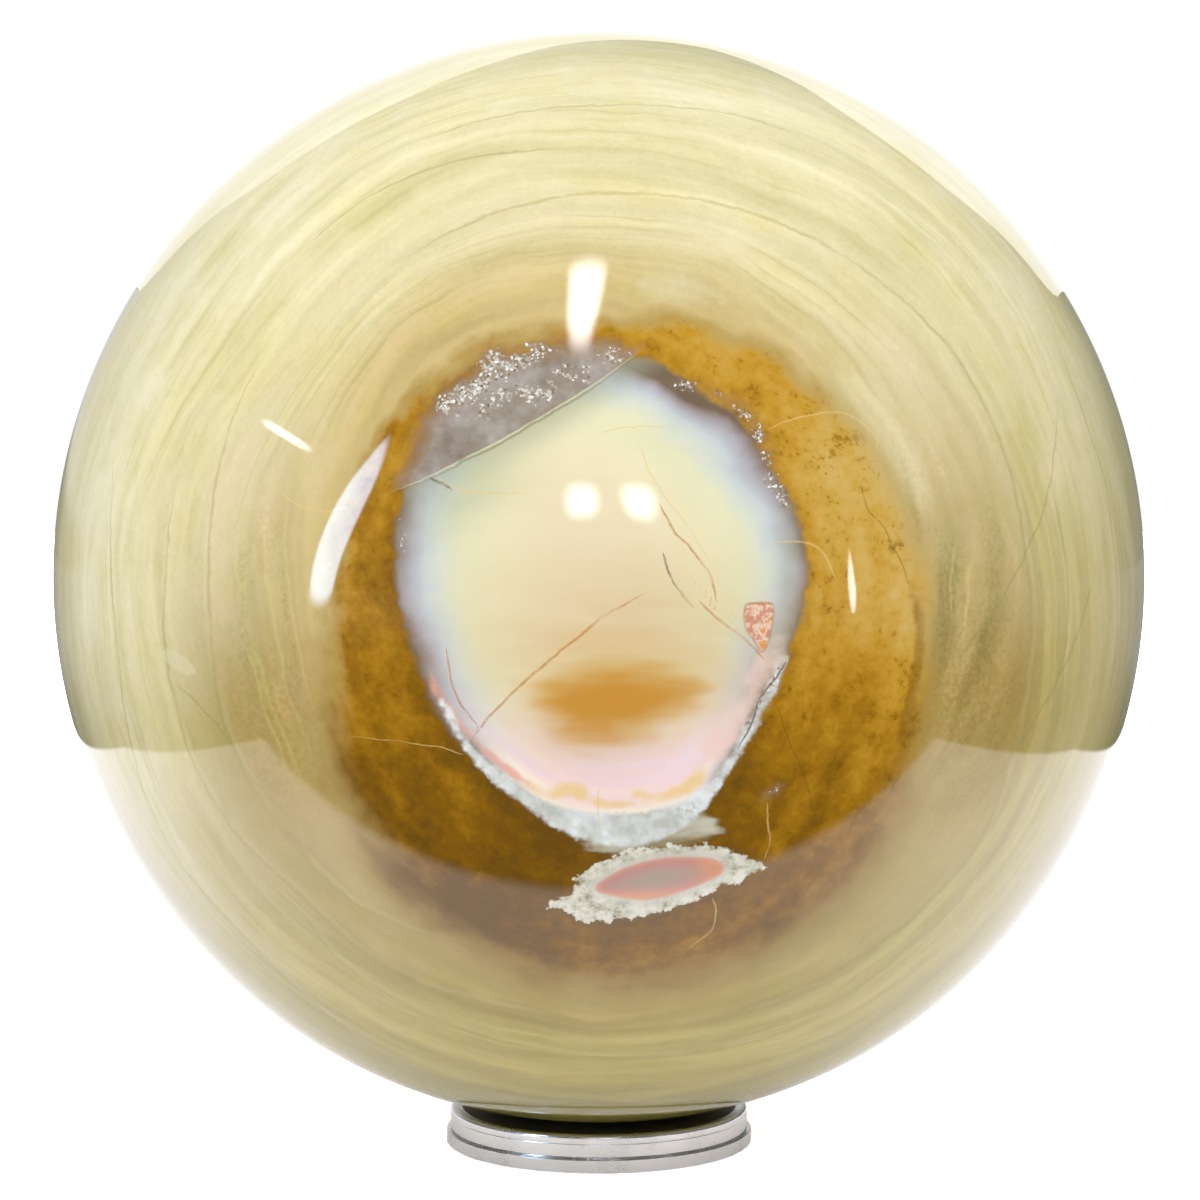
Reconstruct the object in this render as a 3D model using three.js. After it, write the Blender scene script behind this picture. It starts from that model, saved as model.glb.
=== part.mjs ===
// Polished agate sphere resting on a low turned metal ring.
// Millimetres, +Z up. The origin is the middle of the ring's flat underside,
// straight below the centre of the stone.
import * as THREE from 'three';

// Driving dimensions
const STONE_DIAMETER = 200;
const FOOT_DIAMETER = 57; // widest part of the ring, at the table
const BAND_DIAMETER = 55.5; // the plain band above the groove
const RING_HEIGHT = 6.8; // table to the top of the lip
const STONE_CLEARANCE = 5.3; // table to the lowest point of the stone
const HOLE_DIAMETER = 30; // its upper edge carries the stone
const TOUCH_GAP = 0.3; // kept between the stone and the ring

// Details of the ring
const LIP_RADIUS = 0.8; // rounding of the bead round the top
const LIP_STAND = 0.35; // bead above the outer edge of the dish
const GROOVE_HEIGHT = 2.6; // table to the middle of the groove
const GROOVE_WIDTH = 0.5;
const GROOVE_DEPTH = 0.4;
const EDGE_RADIUS = 0.4; // edges of the hole and of the foot

// Facets
const STONE_SIDES = 72;
const STONE_ROWS = 36;
const RING_SIDES = 64;
const LIP_STEPS = 8;
const EDGE_STEPS = 2;

const stoneRadius = STONE_DIAMETER / 2;
const stoneCentre = STONE_CLEARANCE + stoneRadius;

const agate = new THREE.MeshStandardMaterial({ color: 0xb9a777, roughness: 0.12, metalness: 0 });
const polishedMetal = new THREE.MeshStandardMaterial({ color: 0xd6d3cd, roughness: 0.14, metalness: 1 });

// Height of the stone's underside at a distance from the axis.
function stoneUnderside(distance) {
  return stoneCentre - Math.sqrt(stoneRadius ** 2 - distance ** 2);
}

// Names a geometry that was made about the Y axis and stands it on the Z axis.
function standing(name, geometry, material) {
  geometry.rotateX(Math.PI / 2);
  const mesh = new THREE.Mesh(geometry, material);
  mesh.name = name;
  return mesh;
}

// The stone is one ball with its poles on the vertical axis.
function buildStone() {
  const ball = new THREE.SphereGeometry(stoneRadius, STONE_SIDES, STONE_ROWS);
  const stone = standing('agate_sphere', ball, agate);
  stone.position.z = stoneCentre;
  return stone;
}

// A stretch of a circle as points, with the angles in degrees from outwards, anticlockwise.
function arcPoints(radius, centreDistance, centreHeight, fromDegrees, toDegrees, steps) {
  const points = [];
  for (let step = 0; step <= steps; step += 1) {
    const degrees = fromDegrees + ((toDegrees - fromDegrees) * step) / steps;
    const angle = THREE.MathUtils.degToRad(degrees);
    points.push(new THREE.Vector2(
      centreDistance + radius * Math.cos(angle),
      centreHeight + radius * Math.sin(angle),
    ));
  }
  return points;
}

// Half section of the ring: up the outside, over the lip, down the dish and the hole, and back.
function ringSection() {
  const foot = FOOT_DIAMETER / 2;
  const band = BAND_DIAMETER / 2;
  const hole = HOLE_DIAMETER / 2;
  const seat = stoneUnderside(hole) - TOUCH_GAP;
  const lipInside = band - 2 * LIP_RADIUS;
  const grooveFloor = band - GROOVE_DEPTH;
  const grooveTop = GROOVE_HEIGHT + GROOVE_WIDTH / 2;
  const grooveFoot = GROOVE_HEIGHT - GROOVE_WIDTH / 2;
  const section = [
    ...arcPoints(EDGE_RADIUS, foot - EDGE_RADIUS, EDGE_RADIUS, -90, 0, EDGE_STEPS),
    ...arcPoints(EDGE_RADIUS, foot - EDGE_RADIUS, grooveFoot - EDGE_RADIUS, 0, 90, EDGE_STEPS),
    new THREE.Vector2(grooveFloor, grooveFoot),
    new THREE.Vector2(grooveFloor, grooveTop),
    new THREE.Vector2(band, grooveTop),
    ...arcPoints(LIP_RADIUS, band - LIP_RADIUS, RING_HEIGHT - LIP_RADIUS, 0, 120, LIP_STEPS),
    new THREE.Vector2(lipInside - LIP_STAND, RING_HEIGHT - LIP_STAND),
    ...arcPoints(EDGE_RADIUS, hole + EDGE_RADIUS, seat - EDGE_RADIUS, 90, 180, EDGE_STEPS),
    ...arcPoints(EDGE_RADIUS, hole + EDGE_RADIUS, EDGE_RADIUS, 180, 270, EDGE_STEPS),
  ];
  section.push(section[0].clone());
  return section;
}

// The stand is one turned ring.
function buildRing() {
  const turned = new THREE.LatheGeometry(ringSection(), RING_SIDES);
  return standing('ring_stand', turned, polishedMetal);
}

const agateSphere = new THREE.Group();
agateSphere.add(buildStone(), buildRing());

export default agateSphere;
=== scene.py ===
"""Looks of a polished agate sphere on a low turned metal ring. Metres, +Z up."""
import logging
import math
from dataclasses import dataclass, field
from enum import Enum
from typing import Any

import bpy
import numpy as np
from mathutils import Matrix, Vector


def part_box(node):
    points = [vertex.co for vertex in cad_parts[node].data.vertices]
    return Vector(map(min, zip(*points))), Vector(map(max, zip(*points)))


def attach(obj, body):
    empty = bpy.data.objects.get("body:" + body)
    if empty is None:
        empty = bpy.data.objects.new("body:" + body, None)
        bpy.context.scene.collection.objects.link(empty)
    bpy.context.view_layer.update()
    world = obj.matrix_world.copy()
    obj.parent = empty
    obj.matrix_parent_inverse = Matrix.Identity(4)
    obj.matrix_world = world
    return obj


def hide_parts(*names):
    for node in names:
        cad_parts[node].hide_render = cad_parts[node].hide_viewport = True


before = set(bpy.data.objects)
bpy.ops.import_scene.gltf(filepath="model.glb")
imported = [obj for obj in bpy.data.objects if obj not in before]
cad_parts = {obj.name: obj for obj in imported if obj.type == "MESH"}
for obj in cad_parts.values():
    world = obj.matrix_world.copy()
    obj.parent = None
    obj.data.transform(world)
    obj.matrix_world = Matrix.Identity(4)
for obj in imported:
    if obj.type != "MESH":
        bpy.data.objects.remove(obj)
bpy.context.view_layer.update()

log = logging.getLogger("agate_sphere")

STONE_NODE = "agate_sphere"
RING_NODE = "ring_stand"
MM = 0.001
WHITE = (1.0, 1.0, 1.0, 1.0)
Socket = bpy.types.NodeSocket


def srgb(red: int, green: int, blue: int) -> tuple[float, float, float, float]:
    """Turn a colour as seen on a screen into the linear values that shaders take.

    Args:
        red, green, blue: The screen colour, 0 to 255.
    Returns:
        Linear red, green and blue from 0 to 1, and an alpha of 1.
    """
    levels = np.array([red, green, blue]) / 255.0
    linear = np.where(levels <= 0.04045, levels / 12.92, ((levels + 0.055) / 1.055) ** 2.4)
    return (*(float(level) for level in linear), 1.0)


def unit(vector: np.ndarray) -> np.ndarray:
    """Scale a vector, or each row of an array of them, to length one."""
    return vector / np.linalg.norm(vector, axis=-1, keepdims=True)


@dataclass(frozen=True)
class Eyepoint:
    """The camera, given by where it puts the stone in a square frame."""

    stone_centre: np.ndarray
    stone_radius: float
    distance_radii: float = 5.5
    elevation_deg: float = 2.0
    focal_px: float = 2952.0
    frame_px: float = 1200.0
    stone_px: tuple[float, float] = (598.9, 577.8)
    sensor_mm: float = 36.0

    def position(self) -> np.ndarray:
        """Return the place of the camera, in front of the stone and a little above its centre."""
        lift = math.radians(self.elevation_deg)
        away = np.array([0.0, -math.cos(lift), math.sin(lift)])
        return self.stone_centre + away * self.distance_radii * self.stone_radius

    def axes(self) -> tuple[np.ndarray, np.ndarray, np.ndarray]:
        """Work out the camera's axes so that the stone's centre lands on its pixel.

        Returns:
            Unit vectors to the right, up and forward.
        """
        middle = self.frame_px / 2
        to_stone = unit(self.stone_centre - self.position())
        side = unit(np.cross(to_stone, [0.0, 0.0, 1.0]))
        over = np.cross(side, to_stone)
        forward = unit(
            to_stone * self.focal_px
            + side * (middle - self.stone_px[0])
            - over * (middle - self.stone_px[1])
        )
        right = unit(np.cross(forward, [0.0, 0.0, 1.0]))
        return right, np.cross(right, forward), forward

    def rays(self, pixels: np.ndarray) -> np.ndarray:
        """Return the unit directions in which the camera looks through pixels, one a row."""
        right, up, forward = self.axes()
        middle = self.frame_px / 2
        across = (pixels[:, :1] - middle) * right
        upward = (middle - pixels[:, 1:2]) * up
        return unit(forward * self.focal_px + across + upward)

    def on_stone(self, pixels: np.ndarray) -> np.ndarray:
        """Find where pixels lie on the stone: the near root of the ray's meeting with the ball.

        Args:
            pixels: Pixel places, one a row, inside the stone's outline.
        Returns:
            Outward unit normals of the ball at those places.
        """
        rays = self.rays(np.asarray(pixels, dtype=float))
        offset = self.position() - self.stone_centre
        along = rays @ offset
        spare = np.maximum(along**2 - offset @ offset + self.stone_radius**2, 0.0)
        reach = -along - np.sqrt(spare)
        return unit(offset + rays * reach[:, None])

    def mirrored(self, pixels: np.ndarray) -> np.ndarray:
        """Return the directions in which the stone mirrors the camera's rays at pixels."""
        pixels = np.asarray(pixels, dtype=float)
        normals = self.on_stone(pixels)
        rays = self.rays(pixels)
        return rays - 2.0 * np.sum(rays * normals, axis=1, keepdims=True) * normals

    def build(self) -> bpy.types.Object:
        """Add the camera to the scene and make it the one that renders."""
        data = bpy.data.cameras.new("camera")
        data.sensor_width = self.sensor_mm
        data.lens = self.focal_px / self.frame_px * self.sensor_mm
        camera = bpy.data.objects.new("camera", data)
        right, up, forward = self.axes()
        turn = Matrix([[right[i], up[i], -forward[i]] for i in range(3)]).to_4x4()
        camera.matrix_world = Matrix.Translation(self.position()) @ turn
        bpy.context.collection.objects.link(camera)
        bpy.context.scene.camera = camera
        return camera


class Graph:
    """Short ways to add and wire nodes in one shader tree."""

    def __init__(self, tree: bpy.types.NodeTree) -> None:
        """Keep the tree that the nodes go into."""
        self.tree = tree

    def add(self, kind: str, inputs: dict[Any, Any] | None = None, **settings: Any) -> bpy.types.Node:
        """Add a node.

        Args:
            kind: The node's type, without the leading "ShaderNode".
            inputs: Values or sockets for its inputs, by name or number.
            settings: The node's own options.
        Returns:
            The new node.
        """
        node = self.tree.nodes.new("ShaderNode" + kind)
        for name, value in settings.items():
            setattr(node, name, value)
        for name, value in (inputs or {}).items():
            self.feed(node.inputs[name], value)
        return node

    def feed(self, socket: Socket, value: Any) -> None:
        """Wire a socket into an input, or set the input to a plain value."""
        if isinstance(value, Socket):
            self.tree.links.new(value, socket)
        else:
            socket.default_value = value

    def math(self, operation: str, first: Any, second: Any = 0.0, third: Any = 0.0) -> Socket:
        """Return the result of a Math node."""
        node = self.add("Math", {0: first, 1: second, 2: third}, operation=operation)
        return node.outputs[0]

    def sum(self, *terms: Any) -> Socket:
        """Return the sum of two or more numbers."""
        total = terms[0]
        for term in terms[1:]:
            total = self.math("ADD", total, term)
        return total

    def product(self, *factors: Any) -> Socket:
        """Return the product of two or more numbers."""
        total = factors[0]
        for factor in factors[1:]:
            total = self.math("MULTIPLY", total, factor)
        return total

    def sway(self, value: Any, reach: float) -> Socket:
        """Turn a noise of 0 to 1 into a number that swings about zero by half of reach each way."""
        return self.math("MULTIPLY_ADD", value, reach, -reach / 2)

    def step(self, value: Any, low: float, high: float, start: Any = 0.0, end: Any = 1.0) -> Socket:
        """Return a number that eases from start to end as value goes from low to high."""
        places = {"Value": value, "From Min": low, "From Max": high, "To Min": start, "To Max": end}
        return self.add("MapRange", places, interpolation_type="SMOOTHSTEP").outputs[0]

    def invert(self, value: Any) -> Socket:
        """Return one minus the value."""
        return self.math("SUBTRACT", 1.0, value)

    def mix(self, amount: Any, first: Any, second: Any) -> Socket:
        """Return a number between two others."""
        return self.add("Mix", {0: amount, 2: first, 3: second}, data_type="FLOAT").outputs[0]

    def blend(self, amount: Any, first: Any, second: Any, way: str = "MIX") -> Socket:
        """Return a mix of two colours."""
        node = self.add("Mix", {0: amount, 6: first, 7: second}, data_type="RGBA", blend_type=way)
        return node.outputs[2]

    def ramp(self, value: Any, stops: list[tuple[float, tuple]], ease: bool = False) -> Socket:
        """Return the colour of a ramp.

        Args:
            value: The place on the ramp, 0 to 1.
            stops: Places and their colours, in order.
            ease: True for smooth stretches between the stops.
        Returns:
            The colour socket.
        """
        node = self.add("ValToRGB", {0: value})
        node.color_ramp.interpolation = "EASE" if ease else "LINEAR"
        points = node.color_ramp.elements
        while len(points) < len(stops):
            points.new(1.0)
        for point, (place, colour) in zip(points, stops):
            point.position = place
        for point, (place, colour) in zip(points, stops):
            point.color = colour
        return node.outputs[0]

    def noise(self, place: Any, size: float, detail: float = 2.0, rough: float = 0.5, warp: float = 0.0,
              layer: Any = None) -> Socket:
        """Return a soft noise of 0 to 1.

        Args:
            place: Coordinates in millimetres.
            size: Size of the largest lumps, in millimetres.
            detail: Number of finer layers.
            rough: Strength of the finer layers.
            warp: How much the lumps are bent.
            layer: A fourth coordinate, for streaks that follow it; none for plain lumps.
        Returns:
            The noise's value socket.
        """
        values = {"Vector": place, "Scale": 1.0 / size, "Detail": detail, "Roughness": rough, "Distortion": warp}
        if layer is None:
            return self.add("TexNoise", values, noise_dimensions="3D").outputs[0]
        node = self.add("TexNoise", values, noise_dimensions="4D")
        self.feed(node.inputs["W"], self.math("DIVIDE", layer, 1.0 / size))
        return node.outputs[0]

    def attribute(self, name: str) -> Socket:
        """Return the value of a number that the mesh carries."""
        return self.add("Attribute", attribute_name=name).outputs["Fac"]


BACK_BANDS = [
    (0.60, srgb(186, 176, 112)), (0.64, srgb(212, 203, 158)), (0.70, srgb(198, 186, 132)), (0.76, srgb(190, 172, 108)),
    (0.83, srgb(206, 188, 130)), (0.885, srgb(172, 124, 44)), (0.925, srgb(126, 84, 18)), (0.95, srgb(186, 178, 172)),
    (1.0, srgb(228, 220, 186)),
]
LIGHT_BANDS = [
    (0.155, srgb(208, 186, 128)), (0.18, srgb(221, 207, 158)), (0.20, srgb(229, 218, 174)), (0.233, srgb(226, 216, 170)),
    (0.272, srgb(230, 222, 174)), (0.311, srgb(236, 229, 190)), (0.35, srgb(229, 222, 182)), (0.378, srgb(220, 212, 168)),
    (0.41, srgb(204, 196, 144)), (0.439, srgb(196, 187, 132)), (0.47, srgb(212, 205, 163)), (0.50, srgb(220, 213, 172)),
    (0.56, srgb(200, 191, 144)), *BACK_BANDS,
]
BROWN_BANDS = [
    (0.17, srgb(178, 148, 80)), (0.203, srgb(184, 162, 106)), (0.233, srgb(175, 155, 97)), (0.267, srgb(182, 169, 112)),
    (0.311, srgb(192, 179, 126)), (0.345, srgb(180, 168, 115)), (0.39, srgb(165, 156, 108)), (0.44, srgb(180, 172, 122)),
    (0.50, srgb(194, 186, 136)), (0.56, srgb(178, 166, 112)), *BACK_BANDS,
]


@dataclass(frozen=True)
class Trace:
    """A drawn line on the front of the stone, by pixels of the square frame."""

    points: tuple[tuple[float, float], ...]
    width_mm: float = 0.3
    closed: bool = False
    taper: float = 0.12


class VeinKind(Enum):
    """The kinds of fine line in the stone. Lines of one kind keep apart from each other."""

    RUST = "rust"
    PALE = "pale"
    OLIVE = "olive"
    SEAM = "seam"
    DARK = "dark"
    UMBER = "umber_line"


OUTLINES: dict[str, Trace] = {
    "eye": Trace(
        ((628, 357), (662, 364), (695, 388), (729, 411), (755, 444), (776, 478), (796, 511), (806, 551),
         (807, 585), (802, 618), (789, 648), (776, 680), (757, 720), (735, 759), (713, 795), (690, 824),
         (650, 842), (608, 846), (580, 838), (554, 826), (521, 803), (494, 779), (467, 752), (440, 719),
         (424, 685), (410, 645), (400, 605), (396, 558), (397, 518), (407, 484), (420, 444), (438, 410),
         (474, 374), (520, 354), (561, 347), (595, 350)),
        closed=True,
    ),
    "halo": Trace(
        ((620, 322), (699, 322), (768, 354), (826, 402), (882, 458), (912, 532), (930, 610), (930, 695),
         (905, 775), (860, 855), (794, 918), (714, 960), (620, 978), (526, 963), (446, 917), (382, 854),
         (345, 780), (332, 692), (335, 610), (348, 536), (368, 460), (410, 398), (466, 349), (542, 330)),
        closed=True,
    ),
    "rind": Trace(
        ((440, 704), (468, 753), (496, 783), (524, 806), (556, 828), (590, 842), (620, 846), (652, 842),
         (690, 824), (714, 795), (736, 762), (757, 724), (775, 690), (786, 660), (780, 664), (766, 690),
         (748, 722), (728, 757), (708, 783), (682, 801), (645, 811), (606, 813), (575, 810), (548, 802),
         (524, 790), (498, 770), (470, 743), (446, 706)),
        closed=True,
    ),
    "tongue": Trace(((588, 838), (640, 822), (690, 806), (712, 816), (712, 836), (688, 850), (640, 856), (604, 850)),
                    closed=True),
    "lens": Trace(((595, 887), (622, 869), (660, 858), (700, 857), (722, 863), (720, 875), (690, 889), (650, 900),
                   (612, 896)), closed=True),
    "lens_rind": Trace(
        ((546, 906), (572, 892), (580, 874), (626, 853), (690, 844), (735, 852), (764, 867), (740, 880),
         (700, 897), (653, 914), (616, 919), (585, 921), (572, 911)),
        closed=True,
    ),
    "smear": Trace(((526, 700), (552, 668), (605, 652), (664, 656), (722, 684), (704, 708), (676, 726), (650, 746),
                    (604, 760), (556, 748), (538, 724)), closed=True),
    "inclusion": Trace(((746, 605), (760, 603), (773, 605), (772, 625), (764, 652), (754, 640), (745, 626)),
                       closed=True),
}
LONG_CRACK = Trace(((352, 505), (395, 490), (435, 473), (489, 446), (534, 421), (566, 402), (601, 379), (636, 354),
                    (655, 339)), width_mm=0.17, taper=0.35)

VEINS: dict[VeinKind, tuple[Trace, ...]] = {
    VeinKind.RUST: (
        Trace(((468, 748), (489, 717), (521, 685), (553, 657), (585, 631), (617, 609), (648, 592)), 0.4),
        Trace(((446, 644), (451, 679), (462, 706), (479, 727)), 0.3),
        Trace(((658, 500), (672, 528), (692, 550), (710, 577), (718, 604)), 0.35),
        Trace(((697, 599), (719, 620), (742, 638), (766, 660)), 0.4),
        Trace(((744, 605), (758, 603), (775, 604)), 0.3),
    ),
    VeinKind.PALE: (
        Trace(((262, 468), (288, 498), (320, 511), (350, 507)), 0.3),
        Trace(((765, 543), (800, 542), (822, 551), (836, 580)), 0.3),
        Trace(((763, 431), (800, 417), (842, 413), (868, 428), (878, 440), (875, 451)), 0.3),
        Trace(((342, 736), (400, 742), (440, 747), (466, 755)), 0.18),
        Trace(((712, 897), (716, 911), (712, 929), (696, 942), (684, 952)), 0.3),
        Trace(((767, 801), (768, 821), (769, 842), (764, 860)), 0.3),
        Trace(((636, 437), (655, 481), (690, 529), (713, 567)), 0.2),
        Trace(((435, 474), (450, 486), (475, 492), (534, 494)), 0.3),
        Trace(((595, 434), (620, 428), (642, 426), (670, 427), (700, 430)), 0.2),
        Trace(((600, 786), (598, 806), (600, 832)), 0.25),
    ),
    VeinKind.OLIVE: (
        Trace(((400, 262), (470, 222), (545, 200), (620, 193), (710, 202), (800, 232), (880, 282), (940, 336),
               (975, 388), (999, 440), (1014, 487), (1024, 543), (1030, 597), (1029, 648), (1022, 699), (1010, 755),
               (992, 815), (960, 868), (915, 915), (860, 957), (800, 987), (720, 1014)), 0.45, taper=0.05),
        Trace(((270, 345), (232, 420), (213, 500), (209, 584), (216, 686), (232, 745), (262, 802), (298, 850),
               (335, 888), (380, 918), (440, 940), (520, 958)), 0.45),
        Trace(((178, 470), (168, 540), (164, 620), (172, 690), (190, 755), (214, 802), (246, 845), (290, 886),
               (330, 924), (375, 962), (430, 988), (500, 1008), (570, 1020)), 0.4),
        Trace(((116, 440), (111, 558), (116, 635), (134, 757), (152, 812), (185, 870), (240, 932), (310, 1000),
               (380, 1052), (470, 1088)), 0.4),
        Trace(((1050, 330), (1075, 390), (1092, 440), (1105, 482), (1112, 533), (1117, 584), (1116, 650),
               (1108, 700)), 0.4),
        Trace(((268, 884), (302, 914), (334, 955), (374, 986), (430, 1016), (520, 1046), (600, 1057), (680, 1055),
               (760, 1040), (830, 1012)), 0.35),
        Trace(((420, 140), (520, 112), (620, 105), (720, 112), (800, 135)), 0.3),
        Trace(((1054, 490), (1064, 550), (1068, 610), (1064, 655), (1054, 690)), 0.5),
    ),
    VeinKind.SEAM: (
        Trace(((1058, 390), (1054, 457), (1044, 510), (1031, 542), (1010, 585), (980, 630), (955, 668)), 0.35),
        Trace(((172, 681), (196, 702), (225, 735), (250, 775), (300, 830)), 0.3),
        Trace(((300, 250), (380, 190), (470, 158), (560, 148)), 0.3),
        Trace(((1096, 560), (1082, 620), (1062, 672), (1034, 722), (1000, 770), (968, 820)), 0.5),
    ),
    VeinKind.DARK: (
        Trace(((789, 657), (776, 679), (760, 698), (750, 728), (735, 752)), 0.3),
        Trace(((662, 551), (668, 571), (678, 590), (694, 610)), 0.35),
        Trace(((430, 478), (442, 484), (452, 490)), 0.5),
    ),
    VeinKind.UMBER: (
        Trace(((770, 690), (783, 722), (792, 748), (803, 773), (812, 805), (822, 835)), 0.28),
        Trace(((862, 482), (866, 506), (884, 528), (893, 546), (903, 566), (910, 592)), 0.3),
    ),
}


@dataclass(frozen=True)
class Fringe:
    """Something that lies along a line and thins out away from it and towards its ends, such as crystals."""

    line: Trace
    strength: float
    reach_mm: float


FRINGES: dict[str, tuple[Fringe, ...]] = {
    "frost": (
        Fringe(Trace(((428, 414), (452, 402), (478, 384), (488, 362), (510, 366), (536, 352), (566, 350))), 0.95, 2.4),
        Fringe(Trace(((590, 358), (612, 356), (636, 360))), 0.6, 1.6),
        Fringe(Trace(((465, 428), (500, 398), (545, 394), (560, 378), (604, 378))), 0.72, 2.6),
        Fringe(Trace(((650, 376), (690, 388), (737, 406), (757, 430), (772, 468), (784, 496), (791, 515))), 0.52, 1.4),
        Fringe(Trace(((768, 470), (780, 492), (788, 515))), 0.72, 1.6),
        Fringe(Trace(((399, 508), (404, 548), (407, 596))), 0.55, 0.9),
        Fringe(Trace(((788, 655), (775, 680), (756, 712), (742, 735))), 0.75, 0.7),
        Fringe(Trace(((760, 800), (772, 792), (782, 785))), 0.8, 0.8),
    ),
    "coral": (
        Fringe(Trace(((426, 655), (437, 692), (462, 727), (488, 752), (514, 774), (545, 795))), 1.0, 0.8),
    ),
    "umber": (
        Fringe(Trace(((900, 556), (912, 590), (920, 628), (916, 672), (908, 712), (896, 748), (874, 786)), taper=0.3),
               0.9, 1.5),
        Fringe(Trace(((392, 470), (368, 520), (356, 575), (352, 640), (358, 704), (372, 760)), taper=0.3), 0.7, 1.5),
        Fringe(Trace(((410, 440), (436, 404), (470, 366), (520, 340)), taper=0.3), 0.8, 2.4),
    ),
    "cream": (
        Fringe(Trace(((800, 338), (850, 380), (892, 436), (922, 500), (944, 560)), taper=0.4), 1.0, 3.8),
        Fringe(Trace(((584, 292), (650, 286), (716, 292), (776, 318)), taper=0.5), 0.85, 4.2),
        Fringe(Trace(((1036, 410), (1052, 470), (1056, 540)), taper=0.5), 0.7, 5.0),
    ),
    "gold": (
        Fringe(Trace(((522, 780), (548, 793), (572, 790), (590, 797))), 1.0, 1.3),
        Fringe(Trace(((628, 790), (654, 797), (688, 786), (710, 764))), 1.0, 1.2),
        Fringe(Trace(((590, 802), (620, 805), (660, 803))), 0.9, 0.8),
    ),
    "rose": (
        Fringe(Trace(((776, 640), (764, 668), (746, 700), (728, 735), (706, 765))), 1.0, 2.4),
    ),
}


@dataclass(frozen=True)
class Patch:
    """A soft oval patch of colour on the front of the stone, by pixels of the square frame."""

    middle: tuple[float, float]
    half_width: float
    half_height: float
    tilt_deg: float = 0.0
    sharpness: float = 2.0


PATCHES: dict[str, tuple[Patch, ...]] = {
    "glow": (Patch((622, 640), 150, 80, 0.0, 2.2),),
    "low": (Patch((600, 785), 215, 84, 8.0, 3.0),),
    "ochre": (Patch((874, 535), 84, 130, 4.0, 3.0),),
    "sand": (Patch((960, 620), 60, 180, 4.0, 3.0), Patch((272, 610), 66, 170, 6.0, 2.5)),
    "shade": (Patch((272, 735), 82, 125, 10.0, 2.5), Patch((965, 700), 90, 100, -8.0, 2.5)),
    "dusk": (Patch((662, 366), 66, 24, -28.0, 2.0),),
    "green": (Patch((460, 500), 60, 26, 30.0, 2.0), Patch((772, 640), 16, 34, 0.0, 2.0),
              Patch((788, 570), 12, 60, 0.0, 2.0)),
    "speck": (Patch((848, 442), 46, 54, 0.0, 2.5), Patch((906, 690), 16, 60, 0.0, 2.5)),
    "chip": (Patch((178, 662), 22, 11, -20.0, 3.0),),
    "crumbs": (Patch((692, 814), 20, 16, 0.0, 3.0), Patch((762, 700), 22, 42, -28.0, 3.0)),
    "ember": (Patch((712, 868), 14, 14, 0.0, 2.0), Patch((640, 896), 34, 5, 4.0, 2.0)),
}

BAND_POLE_PX = (620.0, 610.0)


class Chart:
    """A flat chart of the stone's surface, unrolled from its front, in millimetres.

    A point's distance from the chart's middle is its distance over the surface from the front
    pole, and its bearing there is its bearing as seen from the front.
    """

    def __init__(self, eyepoint: Eyepoint) -> None:
        """Keep the camera, which places pixels on the stone."""
        self.eyepoint = eyepoint
        self.radius_mm = eyepoint.stone_radius / MM

    def flatten(self, normals: np.ndarray) -> np.ndarray:
        """Return the chart places of outward unit normals, one a row."""
        sideways = normals[:, [0, 2]]
        spread = np.linalg.norm(sideways, axis=1)
        angle = np.arctan2(spread, -normals[:, 1])
        scale = np.where(spread > 1e-9, angle / np.maximum(spread, 1e-9), 1.0)
        return sideways * scale[:, None] * self.radius_mm

    def place(self, pixels: Any) -> np.ndarray:
        """Return the chart places of pixels, one a row."""
        return self.flatten(self.eyepoint.on_stone(np.asarray(pixels, dtype=float)))

    def curve(self, trace: Trace, steps: int = 8) -> np.ndarray:
        """Draw a smooth line through a trace's points.

        Each span is a Catmull-Rom cubic, whose slope at a point is half the way from the point
        before it to the point after it.

        Args:
            trace: The line's points by pixel.
            steps: Number of straight pieces in each span.
        Returns:
            Chart places along the line; a closed line ends where it starts.
        """
        knots = self.place(trace.points)
        if trace.closed:
            before, after = np.roll(knots, 1, axis=0), np.roll(knots, -1, axis=0)
            ends = after
            beyond = np.roll(knots, -2, axis=0)
            starts = knots
        else:
            padded = np.vstack([2 * knots[0] - knots[1], knots, 2 * knots[-1] - knots[-2]])
            before, starts, ends, beyond = padded[:-3], padded[1:-2], padded[2:-1], padded[3:]
        share = np.linspace(0.0, 1.0, steps, endpoint=False)[None, :, None]
        before, starts, ends, beyond = (row[:, None, :] for row in (before, starts, ends, beyond))
        line = 0.5 * (
            2 * starts
            + (ends - before) * share
            + (2 * before - 5 * starts + 4 * ends - beyond) * share**2
            + (3 * starts - before - 3 * ends + beyond) * share**3
        )
        last = line[0, :1] if trace.closed else knots[-1:]
        return np.vstack([line.reshape(-1, 2), last])


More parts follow.
